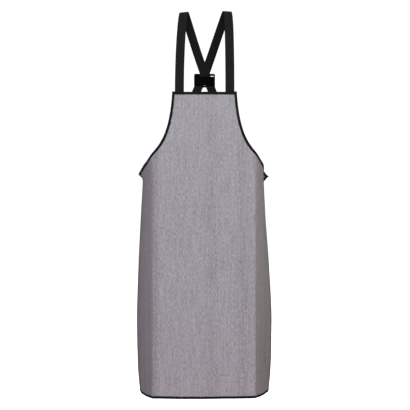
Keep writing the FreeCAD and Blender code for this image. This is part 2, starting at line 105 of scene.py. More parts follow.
FOLD_SHADE = (                         # painted shade: darker upright bands in the cloth's soft folds: middle, half width, depth
    (-0.161, 0.013, 0.20),
    (0.022, 0.030, 0.08),
    (0.124, 0.028, 0.11),
)
WING_HEM_SHADE = 0.15                     # painted shade: how much darker the wings get towards the hem
WING_FROM = (0.164, 0.174)          # |s| over which that sets in, and height over which it grows
LOW_FROM = (-0.80, -1.20)
CLOTH_TOP = (0.314, 0.301, 0.333)   # colour at the bib's top and at the hem: the cloth's grey with painted light, lighter at the top where more light falls
CLOTH_HEM = (0.297, 0.267, 0.297)
WING_LIGHT_TINTS = (                      # painted light, the colour of the light falling on each wing: s where each wing's tint starts and is full, and the tint
    (-0.164, -0.174, (0.97, 0.88, 0.94)),
    (0.162, 0.172, (1.02, 0.955, 0.865)),
)

# ---- Bindings, webbing and thread -------------------------------------------------------------------
TAPE = 0.0008
TAPE_GAP = 0.0001
TAPE_LIP = 0.0003                   # rounding of the tape's inner edges
TAPE_CROWN = 0.0001                 # how much it swells between its edges
TAPE_FOLD = 1.2                     # how far the fold bulges, in tape thicknesses
TAPE_WOBBLE = (0.0002, 0.83, 0.6)   # unevenness of its width, turn at each row, and share left at the end
TAPE_SHARES = (0.75, 0.5, 0.25)
SEAM_IN = 0.0014                    # from the tape's inner edge to its seam
TOP_TAPE = 0.0083
TOP_LIFT = 0.0008                   # the top tape isn't pulled quite down on the cloth's edge
ARM_TAPE = 0.008
WING_TAPE = 0.005                   # how much wider the armhole tape is on the wing
WIDENS = (0.47, 0.26)               # start and run of that, as shares of the armhole
NARROWS = (0.80, 0.14)
HEM_TAPE = 0.0072
EDGE_PROUD = 0.0012
EAR = 0.0030                        # how far the armhole tape stands above the bib
EAR_ROWS = 3
EAR_EASE = (0.006, 0.008)           # how far down it lies over the top tape, and height to settle
TOP_OVERRUN = 0.0004
ARM_OVERRUN = 0.0016
HEM_OVERRUN = 0.0008
SIDE_ROWS = (0.001, 0.007, 0.0075)  # side tape above the waist corner, end of its close rows, next row
SIDE_END = 0.001                    # how far it runs in under the hem tape
HEM_EASE = (0.014, 0.008)           # the hem tape lies over the side tape from here, and length it takes
WEB_WIDTH = 0.030
WEB = 0.0015
RIB_PITCH = 0.0050
RIB = 0.00016
RIB_EDGE = (0.8, 0.1)               # share of the width where the ribs start to fade, and the run of that
SELVEDGE = 14                       # power that rounds the selvedges
BUNCHING = 0.25                     # how much closer the section's points lie at the edges
ANCHOR_X = {-1: 0.0825, 1: 0.0835}
ANCHOR_DROP = 0.038
ANCHOR_SET_IN = 0.0032
SHOULDER_X = {-1: 0.0685, 1: 0.075}
SHOULDER_Z = {-1: -0.0015, 1: 0.0015}
SHOULDER_SLOPE = {-1: 0.09, 1: 0.055}
SHOULDER_EASE = {-1: 0.003, 1: 0.006}
CHEST_PULL = (0.004, -0.120)        # what bends the straps on their way: back from the bib, and height
SHOULDER_PULL = (-0.075, 0.070)     # in front of and behind the shoulder
BLADE_IN = 0.005                    # how much nearer the middle they are behind it
BACK_PULL = (0.034, -0.105)         # out from the middle, and height
CROSS_PULL = (0.045, 0.078)         # out and down from the crossing
WAIST_PULL = 0.050                  # along the buckle's line
CROSSING = (0.001, 0.124, -0.198)
LAYER = {-1: 0.00095, 1: -0.00095}
FLAT_SHARE = 0.2                    # share of the lower run that stays flat, through the slider
LOOP = 0.00235                      # radius of the webbing's middle round a buckle bar
THREAD = 0.00032
BOX_THREAD = 0.0003
STITCH = 0.0030
STITCH_GAP = 0.0011


# ---- Small mathematics ------------------------------------------------------------------------------

def unit(v):
    v = np.asarray(v, float)
    return v / np.maximum(np.linalg.norm(v, axis=-1, keepdims=True), 1e-12)


def smooth(t):
    t = np.clip(t, 0.0, 1.0)
    return t * t * (3.0 - 2.0 * t)


def bezier(controls, u):
    """Points on a Bezier curve of any order; u is an array."""
    u = np.asarray(u, float)[:, None]
    points = [np.broadcast_to(np.asarray(c, float), (len(u), len(c))) for c in controls]
    while len(points) > 1:
        points = [a * (1.0 - u) + b * u for a, b in zip(points, points[1:])]
    return points[0]


def runs_of(points):
    """Unit direction along a row of points."""
    return unit(np.gradient(points, axis=0))


# ---- The cloth surface ------------------------------------------------------------------------------

NEAR = 0.0004       # step for directions on a surface


def per_side(values, side):
    """Each point's own value; side is an array of -1 and 1."""
    return np.where(side < 0, values[-1], values[1])


def drape(s, z):
    """Middle of the cloth without its small features: x, y and heading, as arrays."""
    side = np.where(s < 0, -1, 1)
    below = WAIST - z
    half = CREASE_HALF + CREASE_SOFT * smooth((CREASE_EASE[0] - below) / CREASE_EASE[1])
    front = per_side(CREASE_AT, side) - half
    curl = per_side(WAIST_CURL, side) * np.maximum(1.0 - below / WAIST_REACH, 0.0) ** WAIST_FADE
    hem = HEM_CURL * np.maximum(below / (WAIST - HEM), 0.0) ** HEM_FADE
    opened = per_side(CORNER_OPEN, side) * smooth(1.0 - (below - CORNER_EASE[0]) / CORNER_EASE[1])
    end = per_side(WING_END, side) + curl + hem - opened
    x = np.zeros_like(s)
    lean = np.maximum((z - CHEST_START) / (BIB_TOP - CHEST_START), 0.0)
    y = BELLY_Y + CHEST_SET_BACK * lean ** 2
    heading = np.zeros_like(s)
    left = np.abs(s)
    wing = PANEL_HALF - front - 2 * half
    arcs = (
        (front, FRONT_TURN),
        (2 * half, CREASE_TURN),
        (wing, end - FRONT_TURN - CREASE_TURN),
    )
    for index, (run, turn) in enumerate(arcs):
        here = left if index == 2 else np.minimum(left, run)
        rate = np.radians(turn) / run
        after = heading + rate * here
        x = x + (np.sin(after) - np.sin(heading)) / rate
        y = y - (np.cos(after) - np.cos(heading)) / rate
        heading = after
        left = left - here
    return side, x, y, heading


def hanging_cloth(s, z):
    """Middle of the cloth with its soft waves, before its corners are turned out."""
    side, x, y, heading = drape(s, z)
    down = (BIB_TOP - z) / (BIB_TOP - HEM)
    wave = sum(share * np.sin(s * over + z * upward + phase) for over, upward, phase, share in WAVES)
    depth = WAVE * wave * (WAVE_GROWTH[0] + WAVE_GROWTH[1] * down)
    dip = HEM_DIP * np.minimum(s / PANEL_HALF, 1.0 - s / PANEL_HALF) * down ** DIP_FADE
    out_x = np.sin(heading) * depth
    out_y = np.cos(heading) * depth
    return np.stack([side * (x + out_x), y - out_y, z + dip], axis=-1)


def surface_frame(surface, s, z):
    """Points on a surface, directions of growing s and z along it, and outward normals."""
    along = unit(surface(s + NEAR, z) - surface(s - NEAR, z))
    up = unit(surface(s, z + NEAR) - surface(s, z - NEAR))
    return surface(s, z), along, up, unit(np.cross(along, up))


def cloth(s, z):
    """Middle of the draped cloth, as an array of points."""
    s = np.asarray(s, float)
    z = np.asarray(z, float)
    side = np.where(s < 0, -1, 1)
    slant = np.radians(per_side(FLAP_SLANT, side))
    across_s = side * np.cos(slant)
    across_z = np.sin(slant)
    inset = (s - side * PANEL_HALF) * across_s + (z - WAIST) * across_z
    beyond = np.where(np.abs(s) > FLAP_FROM, np.maximum(per_side(FLAP, side) + inset, 0.0), 0.0)
    foot, along, up, out = surface_frame(hanging_cloth, s - beyond * across_s, z - beyond * across_z)
    towards = unit(along * across_s[..., None] + up * across_z[..., None])
    bend = np.minimum(beyond / FLAP_BEND, np.radians(per_side(FLAP_TURN, side)))
    flat = beyond - bend * FLAP_BEND
    forward = FLAP_BEND * np.sin(bend) + flat * np.cos(bend)
    outward = FLAP_BEND * (1.0 - np.cos(bend)) + flat * np.sin(bend)
    return foot + towards * forward[..., None] + out * outward[..., None]


def cloth_frame(s, z):
    """Points, directions of growing s and z along the cloth, and outward normals."""
    return surface_frame(cloth, np.asarray(s, float), np.asarray(z, float))


ARMHOLE = (
    (BIB_HALF, BIB_TOP),
    (BIB_HALF + ARMHOLE_BEND[0][0], BIB_TOP - ARMHOLE_BEND[0][1]),
    (BIB_HALF + ARMHOLE_BEND[1][0], BIB_TOP - ARMHOLE_BEND[1][1]),
    (PANEL_HALF, WAIST),
)


# ---- Mesh building ----------------------------------------------------------------------------------

def piece(name, verts, faces, flat=None):
    """Mesh object; flat is each point's place on the flat material, in metres."""
    mesh = bpy.data.meshes.new(name)
    mesh.from_pydata([tuple(v) for v in verts], [], faces)
    if flat is not None:
        attribute = mesh.attributes.new("flat", "FLOAT_VECTOR", "POINT")
        attribute.data.foreach_set("vector", np.asarray(flat, np.float32).ravel())
    mesh.validate()
    mesh.shade_smooth()
    obj = bpy.data.objects.new(name, mesh)
    bpy.context.scene.collection.objects.link(obj)
    return obj


def ring_faces(rings, around, start=0):
    """Quads of a tube of rings, each of the same number of points, with flat ends."""
    faces = []
    for i in range(rings - 1):
        for j in range(around):
            a = start + i * around + j
            b = start + i * around + (j + 1) % around
            faces.append((a, b, b + around, a + around))
    last = start + (rings - 1) * around
    faces.append(tuple(range(start + around - 1, start - 1, -1)))
    faces.append(tuple(range(last, last + around)))
    return faces


def sweep(name, centres, runs, normals, profile):
    """Tube with a closed profile of (across, outward) points along a path."""
    centres = np.asarray(centres, float)
    runs = unit(runs)
    normals = np.asarray(normals, float)
    normals = unit(normals - runs * np.sum(normals * runs, axis=1, keepdims=True))
    across = np.cross(normals, runs)
    profile = np.asarray(profile, float)
    if profile.ndim == 2:
        profile = np.broadcast_to(profile, (len(centres),) + profile.shape)
    verts = (centres[:, None, :] + across[:, None, :] * profile[:, :, :1]
             + normals[:, None, :] * profile[:, :, 1:2])
    length = np.concatenate([[0.0], np.cumsum(np.linalg.norm(np.diff(centres, axis=0), axis=1))])
    flat = np.zeros(verts.shape)
    flat[:, :, 0] = profile[:, :, 0]
    flat[:, :, 1] = length[:, None]
    faces = ring_faces(len(centres), profile.shape[1])
    return piece(name, verts.reshape(-1, 3), faces, flat.reshape(-1, 3))


def stitches(name, starts, ends, normals, radius=THREAD):
    """Short threads from starts to ends that sink into the cloth at both ends."""
    sides = 6
    rows = 6
    verts = []
    faces = []
    for a, b, n in zip(starts, ends, normals):
        run = unit(b - a)
        n = unit(n - run * np.dot(n, run))
        across = np.cross(n, run)
        base = len(verts)
        for i in range(rows):
            t = i / (rows - 1)
            swell = math.sin(math.pi * (0.08 + 0.84 * t)) ** 0.5
            centre = a + (b - a) * t + n * radius * (2.2 * swell - 1.5)
            for j in range(sides):
                turn = 2 * math.pi * j / sides
                away = across * math.cos(turn) + n * math.sin(turn)
                verts.append(centre + away * radius * swell)
        faces += ring_faces(rows, sides, base)
    return piece(name, verts, faces)


def stitch_line(points, normals):
    """Starts, ends and normals of even stitches along a row of points."""
    points = np.asarray(points, float)
    normals = np.asarray(normals, float)
    steps = np.linalg.norm(np.diff(points, axis=0), axis=1)
    place = np.concatenate([[0.0], np.cumsum(steps)])
    total = place[-1]
    count = max(int(total / (STITCH + STITCH_GAP)), 1)
    pitch = total / count
    share = STITCH / (STITCH + STITCH_GAP)

    def at(values, where):
        return np.stack([np.interp(where, place, values[:, k]) for k in range(3)], axis=1)

    first = np.arange(count) * pitch + pitch * (1 - share) / 2
    last = first + pitch * share
    return at(points, first), at(points, last), at(normals, (first + last) / 2)


def join_lines(lines):
    return [np.concatenate([line[k] for line in lines]) for k in range(3)]


# ---- Materials --------------------------------------------------------------------------------------

class Nodes:
    """Short way to write a node tree."""

    def __init__(self, name, base, roughness, **settings):
        self.material = bpy.data.materials.new(name)
        self.material.use_nodes = True
        self.tree = self.material.node_tree
        self.shader = self.tree.nodes["Principled BSDF"]
        self.shader.inputs["Base Color"].default_value = (*base, 1.0)
        self.shader.inputs["Roughness"].default_value = roughness
        for key, value in settings.items():
            self.shader.inputs[key.replace("_", " ")].default_value = value

    def put(self, socket, value):
        if isinstance(value, bpy.types.NodeSocket):
            self.tree.links.new(value, socket)
        else:
            socket.default_value = value

    def math(self, operation, a, b=0.0, c=0.0):
        node = self.tree.nodes.new("ShaderNodeMath")
        node.operation = operation
        for socket, value in zip(node.inputs, (a, b, c)):
            self.put(socket, value)
        return node.outputs[0]

    def place(self, attribute=None):
        """Coordinates in metres: the flat attribute, or the frame's own."""
        if attribute:
            node = self.tree.nodes.new("ShaderNodeAttribute")
            node.attribute_name = attribute
            return node.outputs["Vector"]
        return self.tree.nodes.new("ShaderNodeTexCoord").outputs["Object"]

    def split(self, vector):
        node = self.tree.nodes.new("ShaderNodeSeparateXYZ")
        self.put(node.inputs[0], vector)
        return node.outputs

    def stretch(self, vector, scale):
        node = self.tree.nodes.new("ShaderNodeVectorMath")
        node.operation = "MULTIPLY"
        self.put(node.inputs[0], vector)
        node.inputs[1].default_value = scale
        return node.outputs[0]

    def noise(self, vector, scale=1.0, detail=2.0, rough=0.5):
        node = self.tree.nodes.new("ShaderNodeTexNoise")
        self.put(node.inputs["Vector"], vector)
        node.inputs["Scale"].default_value = scale
        node.inputs["Detail"].default_value = detail
        node.inputs["Roughness"].default_value = rough
        return node.outputs["Fac"]

    def remap(self, value, low, high, to_low, to_high):
        node = self.tree.nodes.new("ShaderNodeMapRange")
        for socket, number in zip(node.inputs, (value, low, high, to_low, to_high)):
            self.put(socket, number)
        return node.outputs[0]

    def spread(self, noise, amount):
        """A noise as a tone that goes as far down as up."""
        return self.remap(noise, 0.3, 0.7, -amount, amount)

    def mix(self, factor, a, b, blend="MIX"):
        node = self.tree.nodes.new("ShaderNodeMix")
        node.data_type = "RGBA"
        node.blend_type = blend
        self.put(node.inputs["Factor"], factor)
        for socket, colour in ((node.inputs[6], a), (node.inputs[7], b)):
            self.put(socket, (*colour, 1.0) if isinstance(colour, tuple) else colour)
        return node.outputs[2]

    def scaled(self, colour, factor):
        """A colour times a value that varies over the surface."""
        node = self.tree.nodes.new("ShaderNodeVectorMath")
        node.operation = "SCALE"
        self.put(node.inputs[0], colour)
        self.put(node.inputs["Scale"], factor)
        return node.outputs[0]

    def bump(self, height, distance, strength=1.0):
        node = self.tree.nodes.new("ShaderNodeBump")
        node.inputs["Strength"].default_value = strength
        node.inputs["Distance"].default_value = distance
        self.put(node.inputs["Height"], height)
        self.tree.links.new(node.outputs[0], self.shader.inputs["Normal"])

    def colour(self, value):
        self.put(self.shader.inputs["Base Color"], value)

    def roughness(self, value):
        self.put(self.shader.inputs["Roughness"], value)


def wave_of(n, value, pitch, phase=0.0):
    """0 to 1 over each pitch."""
    turned = n.math("MULTIPLY_ADD", value, 2 * math.pi / pitch, phase)
    return n.math("MULTIPLY_ADD", n.math("SINE", turned), 0.5, 0.5)


def marl_cloth():
    """Grey marl twill: each upright yarn changes from light to dark along its length. Over it are painted
    light and shade: lighter towards the bib's top, light-tinted wings, darker upright fold bands and
    wings darker towards the hem.
    """
    n = Nodes("marl_cloth", (0.33, 0.31, 0.345), 0.92, Sheen_Weight=0.10, Sheen_Roughness=0.6,
              Specular_IOR_Level=0.18)
    flat = n.place("flat")
    s, z, _ = n.split(flat)
    yarn = 0.0010
    warp = n.math("FLOOR", n.math("DIVIDE", s, yarn))
    row = n.tree.nodes.new("ShaderNodeCombineXYZ")
    n.put(row.inputs[0], n.math("MULTIPLY", warp, 7.31))
    n.put(row.inputs[1], n.math("MULTIPLY", z, 95.0))
    fleck = n.noise(row.outputs[0], 1.0, 1.0)
    slub = n.noise(n.stretch(flat, (430.0, 100.0, 1.0)), 1.0, 2.0, 0.55)
    streak = n.noise(n.stretch(flat, (190.0, 11.0, 1.0)), 1.0, 2.0, 0.5)
    cloud = n.noise(n.stretch(flat, (9.0, 4.0, 1.0)), 1.0, 2.0, 0.5)
    tone = n.spread(fleck, 0.21)
    for grain, amount in ((slub, 0.19), (streak, 0.11), (cloud, 0.025)):
        tone = n.math("ADD", tone, n.spread(grain, amount))
    # painted light: the cloth is lighter towards the bib's top and darker towards the hem
    tint = n.mix(n.remap(z, BIB_TOP, HEM, 0.0, 1.0), CLOTH_TOP, CLOTH_HEM)
    # painted light: each wing is tinted by how the light falls on it
    for start, end, wing in WING_LIGHT_TINTS:
        tint = n.mix(n.remap(s, start, end, 0.0, 1.0), tint, wing, "MULTIPLY")
    # painted shade: darker upright bands where the cloth turns in soft folds
    for middle, half, depth in FOLD_SHADE:
        away = n.math("ABSOLUTE", n.math("SUBTRACT", s, middle))
        tone = n.math("ADD", tone, n.remap(away, 0.0, half, -depth, 0.0))
    # painted shade: the wings get darker towards the hem
    on_wing = n.remap(n.math("ABSOLUTE", s), *WING_FROM, 0.0, WING_HEM_SHADE)
    lowness = n.remap(z, *LOW_FROM, 0.0, 1.0)
    tone = n.math("SUBTRACT", tone, n.math("MULTIPLY", on_wing, lowness))
    twill = wave_of(n, n.math("ADD", s, n.math("MULTIPLY", z, 0.55)), 0.0012)
    weft = wave_of(n, z, 0.0008)
    weave = n.math("MULTIPLY_ADD", weft, 0.35, twill)
    shade = n.math("ADD", n.math("ADD", tone, 1.0), n.remap(weave, 0.0, 1.35, -0.05, 0.05))
    n.colour(n.scaled(tint, shade))
    n.roughness(n.remap(slub, 0.2, 0.8, 0.86, 0.97))
    n.bump(n.math("ADD", weave, n.math("MULTIPLY", slub, 1.2)), 0.00022, 0.7)
    return n.material


def woven_band(name, base, ribs, rough, rib_depth):
    """Black narrow fabric: ribs along it, fine picks, a herringbone and a little dust."""
    n = Nodes(name, base, rough, Specular_IOR_Level=0.08)
    flat = n.place("flat")
    across, along, _ = n.split(flat)
    pick = wave_of(n, along, 0.0011)
    herring = n.math("PINGPONG", across, 0.0025)
    chevron = wave_of(n, n.math("ADD", along, n.math("MULTIPLY", herring, 1.2)), 0.0019)
    rib = wave_of(n, across, ribs)
    dust = n.noise(n.stretch(flat, (180.0, 60.0, 1.0)), 1.0, 3.0, 0.6)
    tone = n.math("ADD", n.remap(rib, 0.0, 1.0, 0.6, 1.3), n.spread(dust, 0.18))
    tone = n.math("ADD", tone, n.remap(chevron, 0.0, 1.0, -0.10, 0.10))
    n.colour(n.scaled(base, tone))
    n.roughness(n.remap(dust, 0.2, 0.8, rough - 0.06, rough + 0.05))
    height = n.math("ADD", n.math("MULTIPLY", chevron, 0.8), n.math("MULTIPLY", pick, 0.5))
    n.bump(n.math("ADD", height, rib), rib_depth, 0.8)
    return n.material


def tape_cloth():
    """Black binding tape with fine crosswise ribs and a little fluff."""
    base = (0.0065, 0.0065, 0.007)
    n = Nodes("binding_tape", base, 0.85, Sheen_Weight=0.02, Specular_IOR_Level=0.10)
    flat = n.place("flat")
    _, along, _ = n.split(flat)
    rib = wave_of(n, along, 0.0009)
    fluff = n.noise(n.stretch(flat, (500.0, 140.0, 1.0)), 1.0, 3.0, 0.6)
    tone = n.math("ADD", n.remap(rib, 0.0, 1.0, 0.85, 1.15), n.spread(fluff, 0.25))
    n.colour(n.scaled(base, tone))
    n.bump(n.math("ADD", rib, fluff), 0.00012, 0.8)
    n.roughness(n.remap(fluff, 0.2, 0.8, 0.8, 0.92))
    return n.material


def moulded_plastic(name, base, rough, gloss):
    """Black injection moulding: fine spark-eroded grain and faint handling marks."""
    n = Nodes(name, base, rough, Specular_IOR_Level=gloss)
    place = n.place()
    grain = n.noise(place, 2600.0, 2.0, 0.6)
    marks = n.noise(n.stretch(place, (60.0, 60.0, 220.0)), 1.0, 4.0, 0.65)
    n.colour(n.scaled(base, n.remap(marks, 0.3, 0.7, 0.85, 1.25)))
    n.roughness(n.remap(marks, 0.3, 0.7, rough - 0.07, rough + 0.09))
    n.bump(grain, 0.00004, 0.5)
    return n.material


def sewing_thread(name, base):
    """Twisted sewing thread."""
    n = Nodes(name, base, 0.7, Sheen_Weight=0.15)
    place = n.place()
    twist = n.noise(place, 1800.0, 2.0)
    n.colour(n.scaled(base, n.remap(twist, 0.3, 0.7, 0.75, 1.25)))
    n.bump(twist, 0.0001, 0.6)
    return n.material


def satin_label():
    """Blank white satin ribbon."""
    n = Nodes("label_satin", (0.74, 0.74, 0.72), 0.45, Sheen_Weight=0.2)
    flat = n.place("flat")
    _, along, _ = n.split(flat)
    line = wave_of(n, along, 0.0006)
    fade = n.noise(n.stretch(flat, (60.0, 40.0, 1.0)), 1.0, 3.0)
    n.colour(n.scaled((0.74, 0.74, 0.715), n.remap(fade, 0.3, 0.7, 0.9, 1.03)))
    n.bump(line, 0.00006, 0.6)
    return n.material


MARL = marl_cloth()
TAPE_FINISH = tape_cloth()
WEBBING = woven_band("ribbed_webbing", (0.0106, 0.0106, 0.0110), RIB_PITCH, 0.72, 0.00022)
ELASTIC = woven_band("woven_elastic", (0.0110, 0.0110, 0.0115), 0.0015, 0.78, 0.00018)
THREAD_BLACK = sewing_thread("thread_black", (0.028, 0.028, 0.030))
THREAD_GREY = sewing_thread("thread_grey", (0.17, 0.165, 0.175))
LABEL = satin_label()
SLIDER_PLASTIC = moulded_plastic("slider_moulding", (0.0012, 0.0012, 0.0014), 0.42, 0.012)
BUCKLE_PLASTIC = moulded_plastic("buckle_moulding", (0.0050, 0.0050, 0.0054), 0.36, 0.35)


def dress(obj, material, nodes=(), body="root"):
    """Gives a piece its material, the CAD nodes it stands for and a body to ride on."""
    obj.data.materials.append(material)
    if nodes:
        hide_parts(*nodes)
    if body:
        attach(obj, body)
    return obj


# ---- The cloth panel --------------------------------------------------------------------------------

CORNER_ROWS = (0.048, 33)           # height of the close rows below the waist, and their number
SKIRT_ROWS = 112
ARMHOLE_ROWS = 120
COLUMN_STOPS = (0.0, 0.458, 0.513, 0.87, 1.0)
COLUMN_COUNTS = (34, 12, 30, 32)


def panel_rows():
    """Half width and height of each row of the panel's mesh, from the bib to the hem."""
    armhole = bezier(ARMHOLE, np.linspace(0.0, 1.0, ARMHOLE_ROWS))
    corner = WAIST - CORNER_ROWS[0]
    skirt = np.concatenate([
        np.linspace(WAIST, corner, CORNER_ROWS[1])[1:],
        np.linspace(corner, HEM, SKIRT_ROWS)[1:],
    ])
    halves = np.concatenate([armhole[:, 0], np.full(len(skirt), PANEL_HALF)])
    return halves, np.concatenate([armhole[:, 1], skirt])


def panel_columns():
    """Shares of the half width, closer together at the creases and the rear edges."""
    half = [0.0]
    for low, high, count in zip(COLUMN_STOPS, COLUMN_STOPS[1:], COLUMN_COUNTS):
        half += list(np.linspace(low, high, count + 1)[1:])
    half = np.array(half)
    return np.concatenate([-half[:0:-1], half])


def make_panel():
    """The cloth as one closed sheet: its face, its back and the rim between them."""
    halves, heights = panel_rows()
    columns = panel_columns()
    s = halves[:, None] * columns[None, :]
    z = np.broadcast_to(heights[:, None], s.shape)
    point, _, _, out = cloth_frame(s.ravel(), z.ravel())
    rows, across = s.shape
    count = rows * across
    verts = np.concatenate([point + out * CLOTH / 2, point - out * CLOTH / 2])
    flat = np.stack([s.ravel(), z.ravel(), np.zeros(count)], axis=1)
    faces = []
    for i in range(rows - 1):
        for j in range(across - 1):
            a = i * across + j
            quad = (a, a + across, a + across + 1, a + 1)
            faces.append(quad)
            faces.append(tuple(k + count for k in reversed(quad)))
    rim = [i * across for i in range(rows)]
    rim += [(rows - 1) * across + j for j in range(1, across)]
    rim += [i * across + across - 1 for i in range(rows - 2, -1, -1)]
    rim += list(range(across - 2, 0, -1))
    for a, b in zip(rim, rim[1:] + rim[:1]):
        faces.append((a, a + count, b + count, b))
    return piece("apron_cloth", verts, faces, np.concatenate([flat, flat]))


# ---- Bindings ---------------------------------------------------------------------------------------

def tape_profile(reach, lift):
    """Closed section of a folded tape: (towards the edge, outward) points."""
    inner = CLOTH / 2 + TAPE_GAP + lift
    outer = inner + TAPE
    turns = np.linspace(math.pi / 2, -math.pi / 2, 9)
    centre = EDGE_PROUD - TAPE
    fold = [(centre + TAPE * TAPE_FOLD * math.cos(t), outer * math.sin(t)) for t in turns]
    front = [(-reach, inner + 0.3 * TAPE), (-reach + TAPE_LIP, outer - TAPE_CROWN)]
    front += [(-reach * share, outer + TAPE_CROWN) for share in TAPE_SHARES]
    back = [(a, -b) for a, b in reversed(front)]
    hollow = [(-reach * share, -inner) for share in (1.0, *TAPE_SHARES)] + [(TAPE_GAP, -inner)]
    hollow += [(a, -b) for a, b in reversed(hollow)]
    return np.array(front + fold + back + hollow)


def tape_along(name, s, z, proud, reach, lift=0.0):
    """Folded tape whose edge follows (s, z), and its seams; proud points out of the cloth there."""
    depth, step, left = TAPE_WOBBLE
    uneven = depth * np.sin(np.arange(len(s)) * step) * np.linspace(1, left, len(s))
    reach = np.broadcast_to(reach, len(s)) + uneven
    lift = np.broadcast_to(lift, reach.shape)
    profile = np.stack([tape_profile(r, h) for r, h in zip(reach, lift)])

    def on_cloth(inward, outward):
        """Points in from the edge, or past it where inward is negative, and outward off the cloth."""
        inset = np.maximum(inward, 0.0)
        foot_s = s[:, None] - proud[:, :1] * inset
        foot_z = z[:, None] - proud[:, 1:] * inset
        point, along, up, out = cloth_frame(foot_s, foot_z)
        edge = unit(along * proud[:, None, :1] + up * proud[:, None, 1:])
        point = point + edge * np.maximum(-inward, 0.0)[..., None] + out * outward[..., None]
        return point, out

    verts, _ = on_cloth(-profile[:, :, 0], profile[:, :, 1])
    middle = verts.mean(axis=1)
    length = np.concatenate([[0.0], np.cumsum(np.linalg.norm(np.diff(middle, axis=0), axis=1))])
    flat = np.zeros(verts.shape)
    flat[:, :, 0] = profile[:, :, 0]
    flat[:, :, 1] = length[:, None]
    faces = ring_faces(len(s), profile.shape[1])
    obj = piece(name, verts.reshape(-1, 3), faces, flat.reshape(-1, 3))
    lines = []
    for sign in (1, -1):
        off = sign * (CLOTH / 2 + TAPE + TAPE_GAP + lift)
        seam, out = on_cloth(reach[:, None] - SEAM_IN, off[:, None])
        lines.append(stitch_line(seam[:, 0], out[:, 0] * sign))
    return obj, lines


def edge_normals(s, z, side):
    """Unit normals of a path in the (s, z) plane, pointing out of the cloth."""
    path = np.stack([s, z], axis=1)
    run = np.gradient(path, axis=0)
    run = run / np.linalg.norm(run, axis=1, keepdims=True)
    return np.stack([-run[:, 1], run[:, 0]], axis=1) * side


def make_bindings():
    """All the tapes, and one piece with the seams that hold them."""
    pieces = []
    lines = []

    half = BIB_HALF + TOP_OVERRUN
    s = np.linspace(-half, half, 60)
    proud = np.tile([0.0, 1.0], (len(s), 1))
    z = np.full(len(s), BIB_TOP + TOP_LIFT)
    made, seam = tape_along("bib_top_tape", s, z, proud, TOP_TAPE)
    pieces.append(dress(made, TAPE_FINISH, ["bib_top_binding"]))
    lines += seam

    for side, name in SIDES:
        curve = bezier(ARMHOLE, np.linspace(0.0, 1.0, ARMHOLE_ROWS))
        ear = np.array([[BIB_HALF, BIB_TOP + EAR * (1 - k / EAR_ROWS)] for k in range(EAR_ROWS)])
        tip = curve[-1] + unit(curve[-1] - curve[-2]) * ARM_OVERRUN
        path = np.concatenate([ear, curve, [tip]])
        s = side * path[:, 0]
        z = path[:, 1]
        lift = TAPE * (1 - smooth((BIB_TOP - EAR_EASE[0] - z) / EAR_EASE[1]))
        proud = edge_normals(s, z, side)
        share = np.linspace(0.0, 1.0, len(s))
        wider = smooth((share - WIDENS[0]) / WIDENS[1])
        wider = wider * (1.0 - smooth((share - NARROWS[0]) / NARROWS[1]))
        reach = ARM_TAPE + WING_TAPE * wider
        made, seam = tape_along(name + "_armhole_tape", s, z, proud, reach, lift)
        pieces.append(dress(made, TAPE_FINISH, [name + "_armhole_binding"]))
        lines += seam

        over, close, rest = SIDE_ROWS
        z = np.concatenate([
            np.linspace(WAIST + over, WAIST - close, 6),
            np.linspace(WAIST - rest, HEM + HEM_TAPE - SIDE_END, 150),
        ])
        s = np.full(len(z), side * PANEL_HALF)
        proud = np.tile([float(side), 0.0], (len(z), 1))
        made, seam = tape_along(name + "_side_tape", s, z, proud, ARM_TAPE)
        pieces.append(dress(made, TAPE_FINISH, [name + "_side_binding"]))
        lines += seam

    half = PANEL_HALF + EDGE_PROUD + HEM_OVERRUN
    s = np.linspace(-half, half, 230)
    proud = np.tile([0.0, -1.0], (len(s), 1))
    lift = TAPE * smooth((np.abs(s) - PANEL_HALF + HEM_EASE[0]) / HEM_EASE[1])
    made, seam = tape_along("hem_tape", s, np.full(len(s), HEM), proud, HEM_TAPE, lift)
    pieces.append(dress(made, TAPE_FINISH, ["hem_binding"]))
    lines += seam

    seams = stitches("binding_seams", *join_lines(lines))
    pieces.append(dress(seams, THREAD_BLACK))
    return pieces


# ---- Webbing ----------------------------------------------------------------------------------------

def webbing_profile(width=WEB_WIDTH, thickness=WEB, pitch=RIB_PITCH, rib=RIB, points=29):
    """Section of ribbed webbing with rounded selvedges."""
    even = np.linspace(-1, 1, points)
    a = np.sin(even * math.pi / 2) * BUNCHING + even * (1 - BUNCHING)
    round_edge = np.sqrt(np.maximum(1 - np.abs(a) ** SELVEDGE, 0.0))
    inside = 1 - smooth((np.abs(a) - RIB_EDGE[0]) / RIB_EDGE[1])
    ribs = rib / 2 * np.cos(a * width * math.pi / pitch) * inside
    height = (thickness / 2 - rib / 2 + ribs) * round_edge
    top = np.stack([a * width / 2, height], axis=1)
    under = np.stack([a * width / 2, -height], axis=1)[-2:0:-1]
    return np.concatenate([top, under])


# Places along a waist buckle, from the waist corner.
SOCKET_BAR = 0.0327
PRONG_ROOT = 0.0646
PLUG_BAR = 0.0856
STRAIGHT_END = 0.165                # the strap is straight up to here
TAIL_END = 0.150
TAIL_HEM = 0.012
TAIL_FOLD = 0.0008                  # radius of the webbing's middle in that hem
BAR_EASE = 0.0005                   # where the straight runs pass into the loop round a bar
KEEPER_MIDDLE = 0.114
KEEPER_WIDTH = 0.012
KEEPER_GAP = 0.0009
KEEPER_CORNER = 0.0016
KEEPER_BAND = (0.0012, 0.0015, 0.0001, 25)      # thickness, rib pitch, rib and points of its section
TAB_IN = 0.007                      # where the strap's line leaves the cloth, in and down from the corner
TAB_DOWN = 0.014
TAB_SIGHT = 0.02                    # height further down where the cloth's directions are read
TAB_SEWN = (0.048, 0.020)           # the sewn part of the tab, back from there
TAB_GAP = 0.0009
PLY_GAP = 0.0001
TAB_LEAVES = (0.008, 0.0121)        # where the two layers part
